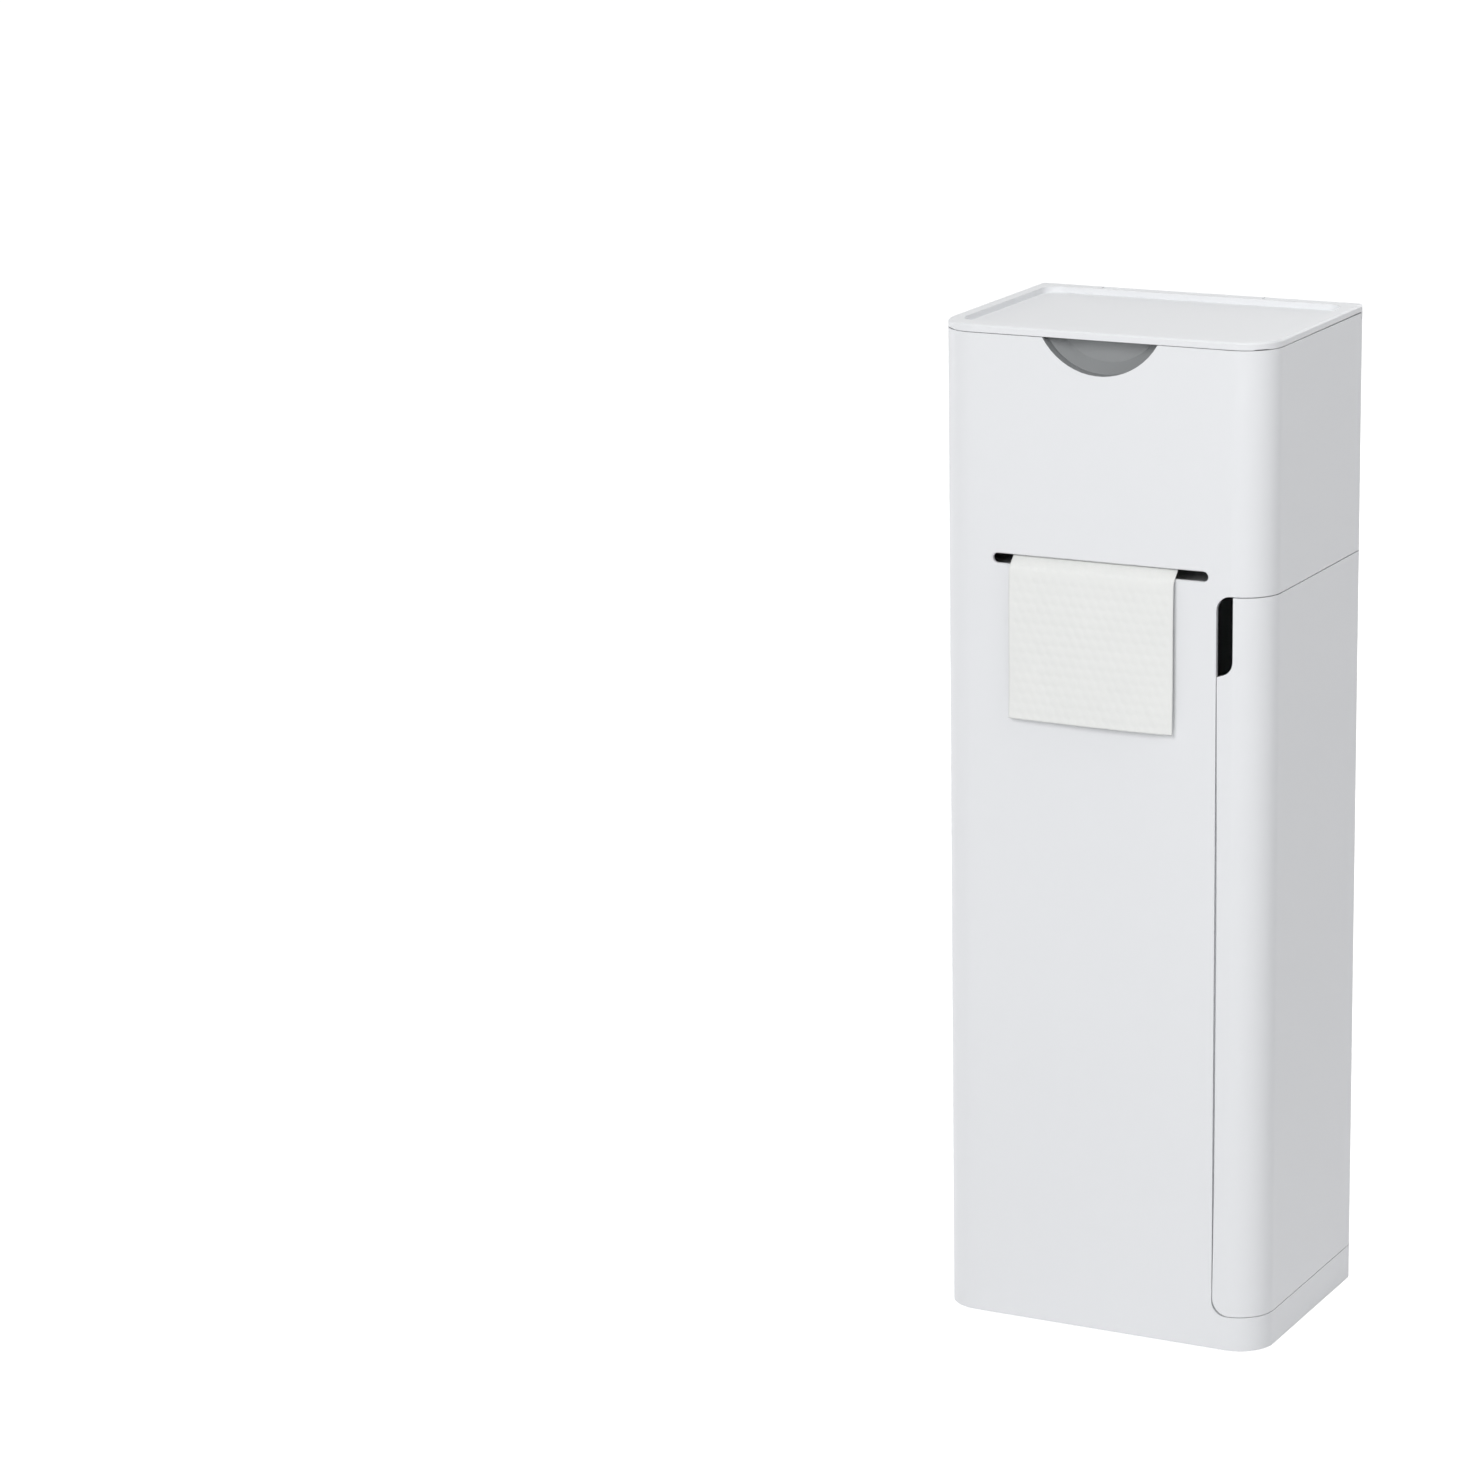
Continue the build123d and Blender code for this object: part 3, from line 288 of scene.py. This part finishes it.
def screwTree(finish):
    tree = bpy.data.node_groups.new("screwSet", "GeometryNodeTree")
    face = tree.interface
    face.new_socket("Geometry", in_out="INPUT", socket_type="NodeSocketGeometry")
    for name in ("headRadius", "headHeight", "shankRadius", "length", "threadRise", "threadPitch",
                 "slotWidth", "slotLength", "slotDepth"):
        face.new_socket(name, in_out="INPUT", socket_type="NodeSocketFloat")
    face.new_socket("turn", in_out="INPUT", socket_type="NodeSocketVector")
    face.new_socket("Geometry", in_out="OUTPUT", socket_type="NodeSocketGeometry")
    enter = tree.nodes.new("NodeGroupInput")
    leave = tree.nodes.new("NodeGroupOutput")
    link = tree.links.new

    def worked(operation, a, b):
        node = tree.nodes.new("ShaderNodeMath")
        node.operation = operation
        for socket, value in zip(node.inputs, (a, b)):
            if isinstance(value, (int, float)):
                socket.default_value = value
            else:
                link(value, socket)
        return node.outputs[0]

    def point(x, y, z):
        node = tree.nodes.new("ShaderNodeCombineXYZ")
        for socket, value in zip(node.inputs, (x, y, z)):
            if isinstance(value, (int, float)):
                socket.default_value = value
            else:
                link(value, socket)
        return node.outputs[0]

    def moved(shape, x, y, z):
        node = tree.nodes.new("GeometryNodeTransform")
        link(shape, node.inputs["Geometry"])
        link(point(x, y, z), node.inputs["Translation"])
        return node.outputs["Geometry"]

    head = tree.nodes.new("GeometryNodeMeshCone")
    head.inputs["Vertices"].default_value = screwFacets["head"]
    link(enter.outputs["headRadius"], head.inputs["Radius Top"])
    link(enter.outputs["shankRadius"], head.inputs["Radius Bottom"])
    link(enter.outputs["headHeight"], head.inputs["Depth"])
    headLow = worked("MULTIPLY", enter.outputs["headHeight"], -1.0)
    headShape = moved(head.outputs["Mesh"], 0, 0, headLow)
    slots = []
    for wide, deep in (("slotLength", "slotWidth"), ("slotWidth", "slotLength")):
        bar = tree.nodes.new("GeometryNodeMeshCube")
        throughTop = worked("MULTIPLY", enter.outputs["slotDepth"], 2.0)
        size = point(enter.outputs[wide], enter.outputs[deep], throughTop)
        link(size, bar.inputs["Size"])
        slots.append(bar.outputs["Mesh"])
    for bar in slots:
        cut = tree.nodes.new("GeometryNodeMeshBoolean")
        cut.operation = "DIFFERENCE"
        link(headShape, cut.inputs["Mesh 1"])
        link(bar, cut.inputs["Mesh 2"])
        headShape = cut.outputs["Mesh"]
    shank = tree.nodes.new("GeometryNodeMeshCylinder")
    shank.inputs["Vertices"].default_value = screwFacets["shank"]
    shankLength = worked("SUBTRACT", enter.outputs["length"], enter.outputs["headHeight"])
    shankRadius = worked("SUBTRACT", enter.outputs["shankRadius"], enter.outputs["threadRise"])
    link(shankRadius, shank.inputs["Radius"])
    link(shankLength, shank.inputs["Depth"])
    shankMiddle = worked("ADD", worked("MULTIPLY", shankLength, -0.5), headLow)
    shankShape = moved(shank.outputs["Mesh"], 0, 0, shankMiddle)
    helix = tree.nodes.new("GeometryNodeCurveSpiral")
    helix.inputs["Resolution"].default_value = screwFacets["thread"]
    threadPlain = worked("MULTIPLY", enter.outputs["threadPitch"], screwFit["plainTurns"])
    threadLength = worked("SUBTRACT", shankLength, threadPlain)
    link(worked("DIVIDE", threadLength, enter.outputs["threadPitch"]), helix.inputs["Rotations"])
    link(shankRadius, helix.inputs["Start Radius"])
    link(shankRadius, helix.inputs["End Radius"])
    link(threadLength, helix.inputs["Height"])
    ridge = tree.nodes.new("GeometryNodeCurvePrimitiveCircle")
    ridge.inputs["Resolution"].default_value = screwFacets["ridge"]
    link(enter.outputs["threadRise"], ridge.inputs["Radius"])
    thread = tree.nodes.new("GeometryNodeCurveToMesh")
    thread.inputs["Fill Caps"].default_value = True
    link(helix.outputs["Curve"], thread.inputs["Curve"])
    link(ridge.outputs["Curve"], thread.inputs["Profile Curve"])
    threadEnd = worked("MULTIPLY", enter.outputs["length"], -1.0)
    threadTip = worked("MULTIPLY", enter.outputs["threadPitch"], screwFit["tipTurns"])
    threadLow = worked("ADD", threadEnd, threadTip)
    threadShape = moved(thread.outputs["Mesh"], 0, 0, threadLow)
    whole = tree.nodes.new("GeometryNodeJoinGeometry")
    for shape in (headShape, shankShape, threadShape):
        link(shape, whole.inputs["Geometry"])
    stand = tree.nodes.new("GeometryNodeInstanceOnPoints")
    link(enter.outputs["Geometry"], stand.inputs["Points"])
    link(whole.outputs["Geometry"], stand.inputs["Instance"])
    link(enter.outputs["turn"], stand.inputs["Rotation"])
    real = tree.nodes.new("GeometryNodeRealizeInstances")
    link(stand.outputs["Instances"], real.inputs["Geometry"])
    paint = tree.nodes.new("GeometryNodeSetMaterial")
    paint.inputs["Material"].default_value = finish
    link(real.outputs["Geometry"], paint.inputs["Geometry"])
    link(paint.outputs["Geometry"], leave.inputs["Geometry"])
    return tree


def setInput(modifier, name, value):
    for item in modifier.node_group.interface.items_tree:
        if item.name == name and item.in_out == "INPUT":
            modifier[item.identifier] = value


# Which way each set's heads face: the axis of the shank, and the end where the head is
screwSets = {
    "back_panel_screws": (1, 1), "base_screws": (2, -1), "deck_screws": (2, 1), "holder_screws": (0, -1),
}
oneScrew = screwTree(finishes["zinc_screw"])
for node, (axis, end) in screwSets.items():
    boxes = solidBoxes(node)
    seats = []
    for low, high in boxes:
        seat = (low + high) / 2
        seat[axis] = high[axis] if end > 0 else low[axis]
        seats.append(seat)
    low, high = boxes[0]
    across = max((high - low)[other] for other in range(3) if other != axis)
    length = (high - low)[axis]
    mesh = bpy.data.meshes.new(node)
    mesh.from_pydata([tuple(seat) for seat in seats], [], [])
    piece = newPiece("dressed_" + node, mesh)
    build = piece.modifiers.new("screws", "NODES")
    build.node_group = oneScrew
    sizes = {name: value * mm for name, value in screwShape.items()}
    sizes["headRadius"] = across / 2 * screwFit["headShare"]
    sizes["headHeight"] = sizes["headRadius"] - sizes["shankRadius"] + screwFit["headRim"] * mm
    sizes["length"] = length
    for name, value in sizes.items():
        setInput(build, name, value)
    facing = Vector([end if index == axis else 0 for index in range(3)])
    setInput(build, "turn", tuple(facing.to_track_quat("Z", "Y").to_euler()))
    settle(piece)
    piece.data.set_sharp_from_angle(angle=math.radians(screwFit["sharpTurn"]))
    finishPiece(piece, node)
print("screw sets:", len(screwSets))


# Points along a line of straight runs whose corners are rounded, about one step apart
def roundedLine(corners, radii, step):
    line = [corners[0]]
    for before, corner, after, radius in zip(corners, corners[1:], corners[2:], radii):
        inward, outward = (before - corner).normalized(), (after - corner).normalized()
        half = inward.angle(outward) / 2
        reach = radius / math.tan(half)
        centre = corner + (inward + outward).normalized() * radius / math.sin(half)
        start, end = corner + inward * reach - centre, corner + outward * reach - centre
        sweep = start.angle(end)
        count = max(2, round(radius * sweep / step))
        for index in range(count + 1):
            share = index / count
            way = (start * math.sin((1 - share) * sweep) + end * math.sin(share * sweep)) / math.sin(sweep)
            line.append(centre + way)
    line.append(corners[-1])
    even = [line[0]]
    for start, end in zip(line, line[1:]):
        count = max(1, round((end - start).length / step))
        even += [start.lerp(end, (index + 1) / count) for index in range(count)]
    return even


# Paper: the hanging end of the roll, embossed with rows of small pillows
paper = {"thickness": 0.22, "step": 0.9, "pillow": 5.8, "emboss": 0.3, "pillowSpread": 0.2, "pillowRound": 0.7,
         "edgeFade": 12, "curl": 1.1, "curlPower": 6, "wave": 0.5, "waveLength": 17, "waveStart": 1.3,
         "rollY": 3, "rollZ": 510, "rollRadius": 52, "gap": 0.2, "slotZ": 448, "hang": 60,
         "route": ((-70.3, 456.2), (-78.4, 448.5), (-79.2, 428.9)), "freeY": -80.7, "bends": (4, 6, 60)}


def embossAt(across, along):
    row = math.floor(along / paper["pillow"])
    shift = 0.5 * paper["pillow"] * (row % 2)
    u = (across + shift) / paper["pillow"] % 1 - 0.5
    v = along / paper["pillow"] % 1 - 0.5
    return paper["emboss"] * max(0.0, 1 - (u * u + v * v) / paper["pillowSpread"]) ** paper["pillowRound"]


# The low one of the two points where a straight run to the first bend leaves the roll; flat points are (y, z)
def leavingPoint(bend):
    hub = Vector((paper["rollY"], paper["rollZ"]))
    away = bend - hub
    lead = math.acos(paper["rollRadius"] / away.length)
    facing = math.atan2(away.y, away.x)
    reach = paper["rollRadius"] + paper["gap"]
    ways = [Vector((math.cos(turn), math.sin(turn))) for turn in (facing - lead, facing + lead)]
    return min([hub + way * reach for way in ways], key=lambda spot: spot.y)


def paperSheet():
    low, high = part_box("paper_sheet")
    route = [Vector(spot) for spot in paper["route"]]
    path = [leavingPoint(route[0]), *route, Vector((paper["freeY"], low.z / mm))]
    line = roundedLine(path, paper["bends"], paper["step"])
    width = (high.x - low.x) / mm
    columns = round(width / paper["step"])
    along = 0.0
    verts = []
    for index, spot in enumerate(line):
        ahead = line[min(index + 1, len(line) - 1)] - line[max(index - 1, 0)]
        normal = Vector((ahead.y, -ahead.x)).normalized()
        normal = -normal if normal.x > 0 else normal
        if index:
            along += (spot - line[index - 1]).length
        hang = min(1.0, max(0.0, (paper["slotZ"] - spot.y) / paper["hang"]))
        for column in range(columns + 1):
            across = column / columns * width
            side = abs(2 * column / columns - 1)
            lift = embossAt(across, along) * min(1.0, paper["edgeFade"] * (1 - side))
            swell = math.sin(across / paper["waveLength"] + paper["waveStart"] + along / paper["hang"])
            lift += hang * (paper["wave"] * swell - paper["curl"] * side ** paper["curlPower"])
            y, z = spot + normal * lift
            verts.append((low.x + across * mm, y * mm, z * mm))
    stride = columns + 1
    faces = [(row * stride + column, (row + 1) * stride + column, (row + 1) * stride + column + 1,
              row * stride + column + 1) for row in range(len(line) - 1) for column in range(columns)]
    mesh = bpy.data.meshes.new("paperSheet")
    mesh.from_pydata(verts, [], faces)
    mesh.shade_smooth()
    piece = newPiece("dressed_paper_sheet", mesh)
    ply = piece.modifiers.new("ply", "SOLIDIFY")
    ply.thickness = paper["thickness"] * mm
    ply.offset = 0
    settle(piece)
    finishPiece(piece, "paper_sheet")


paperSheet()
print("paper sheet hung")


turnedFit = {"reach": 0.001, "sharpTurn": 50}


# Turned pieces: a closed profile of (along, radius) points spun round an axis
def turned(name, profile, centre, axis, steps):
    verts, faces = [], []
    sides = [Vector((0, 1, 0)), Vector((0, 0, 1))] if axis == 0 else [Vector((1, 0, 0)), Vector((0, 1, 0))]
    way = Vector((1, 0, 0)) if axis == 0 else Vector((0, 0, 1))
    for step in range(steps):
        angle = 2 * math.pi * step / steps
        spoke = sides[0] * math.cos(angle) + sides[1] * math.sin(angle)
        verts += [centre + way * along * mm + spoke * radius * mm for along, radius in profile]
    count = len(profile)
    for step in range(steps):
        nextStep = (step + 1) % steps
        for index in range(count):
            ahead = (index + 1) % count
            faces.append((step * count + index, nextStep * count + index, nextStep * count + ahead,
                          step * count + ahead))
    mesh = bpy.data.meshes.new(name)
    mesh.from_pydata([tuple(vert) for vert in verts], [], faces)
    work = bmesh.new()
    work.from_mesh(mesh)
    bmesh.ops.remove_doubles(work, verts=work.verts, dist=turnedFit["reach"] * mm)
    bmesh.ops.recalc_face_normals(work, faces=work.faces)
    work.to_mesh(mesh)
    work.free()
    mesh.shade_smooth()
    mesh.set_sharp_from_angle(angle=math.radians(turnedFit["sharpTurn"]))
    return newPiece(name, mesh)


# Roll: wound layers show as fine steps on both ends
rollShape = {"inner": 21.2, "outer": 51.9, "layers": 26, "step": 0.45, "lip": 0.25, "layerFlat": (0.3, 0.7),
             "round": 1.6, "roundShare": 0.3, "seed": 7, "steps": 144}


def woundRoll(node):
    low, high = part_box(node)
    inner, outer = rollShape["inner"], rollShape["outer"]
    draw = random.Random(rollShape["seed"])
    half = (high.x - low.x) / mm / 2
    pitch = (outer - inner) / rollShape["layers"]
    ring = []
    for layer in range(rollShape["layers"]):
        depth = draw.uniform(0, rollShape["step"])
        radius = inner + layer * pitch
        face = half - depth
        ring.append((face - rollShape["lip"], radius))
        ring += [(face, radius + pitch * share) for share in rollShape["layerFlat"]]
    corner = rollShape["round"] * rollShape["roundShare"]
    ring.append((half - corner, outer - corner))
    profile = ring + [(half - rollShape["round"], outer)]
    profile += [(-along, radius) for along, radius in reversed(profile)]
    piece = turned("dressed_" + node, profile, (low + high) / 2, 0, rollShape["steps"])
    finishPiece(piece, node)


core = {"wall": 1.2, "round": 0.3, "steps": 96}


def coreTube(node):
    low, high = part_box(node)
    outer = (high.z - low.z) / mm / 2
    half = (high.x - low.x) / mm / 2
    edge, inner = core["round"], outer - core["wall"]
    profile = [(half, outer - edge), (half - edge, outer), (edge - half, outer), (-half, outer - edge),
               (-half, inner), (half, inner)]
    finishPiece(turned("dressed_" + node, profile, (low + high) / 2, 0, core["steps"]), node)


woundRoll("paper_roll")
coreTube("roll_core")
print("roll wound")


# Brush head: a turned plug, with rows of nubs set round it by a node tree
nubs = {"rows": 11, "around": 22, "root": 2.3, "tip": 1.2, "end": 8.0, "sides": 8, "sink": 0.4, "clear": 0.3,
        "seat": 0.01, "plug": 20.5, "shoulder": 6.0, "shoulderSteps": 6, "plugSteps": 64, "pole": 0.01}


def nubTree(finish):
    tree = bpy.data.node_groups.new("nubRows", "GeometryNodeTree")
    face = tree.interface
    face.new_socket("Geometry", in_out="INPUT", socket_type="NodeSocketGeometry")
    for name in ("root", "tip", "length"):
        face.new_socket(name, in_out="INPUT", socket_type="NodeSocketFloat")
    face.new_socket("Geometry", in_out="OUTPUT", socket_type="NodeSocketGeometry")
    enter, leave = tree.nodes.new("NodeGroupInput"), tree.nodes.new("NodeGroupOutput")
    nub = tree.nodes.new("GeometryNodeMeshCone")
    nub.inputs["Vertices"].default_value = nubs["sides"]
    nub.inputs["Side Segments"].default_value = 2
    tree.links.new(enter.outputs["tip"], nub.inputs["Radius Top"])
    tree.links.new(enter.outputs["root"], nub.inputs["Radius Bottom"])
    tree.links.new(enter.outputs["length"], nub.inputs["Depth"])
    facing = tree.nodes.new("GeometryNodeInputNormal")
    lean = tree.nodes.new("FunctionNodeAlignRotationToVector")
    lean.axis = "Z"
    tree.links.new(facing.outputs["Normal"], lean.inputs["Vector"])
    stand = tree.nodes.new("GeometryNodeInstanceOnPoints")
    tree.links.new(enter.outputs["Geometry"], stand.inputs["Points"])
    tree.links.new(nub.outputs["Mesh"], stand.inputs["Instance"])
    tree.links.new(lean.outputs["Rotation"], stand.inputs["Rotation"])
    real = tree.nodes.new("GeometryNodeRealizeInstances")
    tree.links.new(stand.outputs["Instances"], real.inputs["Geometry"])
    paint = tree.nodes.new("GeometryNodeSetMaterial")
    paint.inputs["Material"].default_value = finish
    tree.links.new(real.outputs["Geometry"], paint.inputs["Geometry"])
    tree.links.new(paint.outputs["Geometry"], leave.inputs["Geometry"])
    return tree


def brushHead(node):
    low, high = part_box(node)
    middle = (low + high) / 2
    half, reach = (high.z - low.z) / mm / 2, (high.x - low.x) / mm / 2
    curve, radius = nubs["shoulder"], nubs["plug"]
    turns = [math.radians(90 * step / nubs["shoulderSteps"]) for step in range(nubs["shoulderSteps"] + 1)]
    arc = [(half - curve + curve * math.sin(turn), radius - curve + curve * math.cos(turn)) for turn in turns]
    profile = [(0, radius)] + arc + [(half, nubs["pole"])]
    profile += [(-along, size) for along, size in reversed(profile)]
    plug = turned("dressed_" + node, profile, middle, 2, nubs["plugSteps"])
    rows, around = nubs["rows"], nubs["around"]
    spread = 2 * (half - nubs["end"]) / (rows - 1)
    verts, faces = [], []
    for row in range(rows):  # tiny faces, whose corners and normals carry the nubs
        for step in range(around):
            angle = 2 * math.pi * (step + 0.5 * (row % 2)) / around
            out = Vector((math.cos(angle), math.sin(angle), 0))
            side = Vector((-out.y, out.x, 0))
            rise = (row - (rows - 1) / 2) * spread * mm
            spot = middle + out * (radius - nubs["sink"]) * mm + Vector((0, 0, rise))
            start = len(verts)
            tiny = nubs["seat"] * mm
            verts += [spot, spot + side * tiny, spot + side * tiny + Vector((0, 0, tiny))]
            faces.append((start, start + 1, start + 2))
    seats = bpy.data.meshes.new("nubSeats")
    seats.from_pydata([tuple(vert) for vert in verts], [], faces)
    rowsPiece = newPiece("nubRows", seats)
    build = rowsPiece.modifiers.new("nubs", "NODES")
    build.node_group = nubTree(finishes["silicone"])
    setInput(build, "root", nubs["root"] / 2 * mm)
    setInput(build, "tip", nubs["tip"] / 2 * mm)
    setInput(build, "length", (reach - radius + nubs["sink"] - nubs["clear"]) * mm)
    settle(rowsPiece)
    work = bmesh.new()
    work.from_mesh(plug.data)
    work.from_mesh(rowsPiece.data)
    work.to_mesh(plug.data)
    work.free()
    bpy.data.objects.remove(rowsPiece)
    finishPiece(plug, node)


brushHead("brush_head")
print("brush head set with nubs")


# Floor, white surround and soft light
studio = {"ambient": (0.22, 0.222, 0.227, 1), "floorColour": (0.85, 0.85, 0.86, 1), "floorGlow": 0.85,
          "floorSize": 8.0, "floorRough": 0.9, "floorGloss": 0.1}
lamps = {
    "keyLamp": dict(place=(0.15, -3.05, 1.9), aim=(0, 0, 0.3), size=1.8, watts=60),
    "topLamp": dict(place=(0.3, 0.1, 2.3), aim=(0, 0, 0.4), size=1.6, watts=10),
    "rearLamp": dict(place=(0.1, 3.1, 1.0), aim=(0, 0, 0.3), size=1.8, watts=24),
    "leftLamp": dict(place=(-2.6, 0.4, 0.8), aim=(0, 0, 0.3), size=1.4, watts=12),
    "sideLamp": dict(place=(0.85, -0.35, 1.05), aim=(0.1, 0, 0.45), size=0.6, watts=1.2),
}


# 1 for rays that reach the eye straight, by a mirror or through glass
def seenRays(tree):
    path = tree.nodes.new("ShaderNodeLightPath")
    total = path.outputs["Is Camera Ray"]
    for name in ("Is Glossy Ray", "Is Transmission Ray"):
        add = addNode(tree, "ShaderNodeMath", operation="MAXIMUM")
        tree.links.new(total, add.inputs[0])
        tree.links.new(path.outputs[name], add.inputs[1])
        total = add.outputs[0]
    return total


def studioWorld():
    world = bpy.data.worlds.new("studio")
    world.use_nodes = True
    tree = world.node_tree
    back = tree.nodes["Background"]
    pick = addNode(tree, "ShaderNodeMix", data_type="RGBA")
    colours = [socket for socket in pick.inputs if socket.type == "RGBA"]
    colours[0].default_value = studio["ambient"]
    colours[1].default_value = (1, 1, 1, 1)
    tree.links.new(seenRays(tree), pick.inputs[0])
    tree.links.new([socket for socket in pick.outputs if socket.type == "RGBA"][0], back.inputs["Color"])
    bpy.context.scene.world = world


def studioFloor():
    size = studio["floorSize"]
    mesh = bpy.data.meshes.new("floor")
    corners = [(-size, -size, 0), (size, -size, 0), (size, size, 0), (-size, size, 0)]
    mesh.from_pydata(corners, [], [(0, 1, 2, 3)])
    floor = newPiece("floor", mesh)
    look = {"Base Color": studio["floorColour"], "Roughness": studio["floorRough"],
            "Specular IOR Level": studio["floorGloss"], "Emission Color": (1, 1, 1, 1)}
    material, tree, shader = blankMaterial("paleFloor", look)
    glow = addNode(tree, "ShaderNodeMath", operation="MULTIPLY")
    glow.inputs[1].default_value = studio["floorGlow"]
    tree.links.new(seenRays(tree), glow.inputs[0])
    tree.links.new(glow.outputs[0], shader.inputs["Emission Strength"])
    mesh.materials.append(material)


def softLamp(name, place, aim, size, watts):
    light = bpy.data.lights.new(name, "AREA")
    light.shape = "DISK"
    light.size = size
    light.energy = watts
    lamp = newPiece(name, light)
    lamp.location = place
    lamp.rotation_euler = (Vector(aim) - Vector(place)).to_track_quat("-Z", "Y").to_euler()
    lamp.visible_camera = False


studioWorld()
studioFloor()
for name, values in lamps.items():
    softLamp(name, **values)
print("studio lit")


# Camera of the photograph: turned right of the front, looking a little down
shot = {"place": (1.111, -2.628, 1.069), "turn": 27.73, "down": 14.33, "roll": -0.96, "lens": 124.85,
        "sensor": 36}


def shotCamera():
    data = bpy.data.cameras.new("shot")
    data.lens, data.sensor_width, data.sensor_fit = shot["lens"], shot["sensor"], "HORIZONTAL"
    camera = newPiece("shot", data)
    turn, down, roll = (math.radians(shot[name]) for name in ("turn", "down", "roll"))
    ahead = Vector((-math.sin(turn) * math.cos(down), math.cos(turn) * math.cos(down), -math.sin(down)))
    right = Vector((math.cos(turn), math.sin(turn), 0))
    up = right.cross(ahead)
    right = right * math.cos(roll) + up * math.sin(roll)
    up = right.cross(ahead)
    facing = Matrix((right, up, -ahead)).transposed().to_4x4()
    camera.matrix_world = Matrix.Translation(shot["place"]) @ facing
    bpy.context.scene.camera = camera


shotCamera()
bpy.context.scene.view_settings.view_transform = "Standard"
print("scene ready")
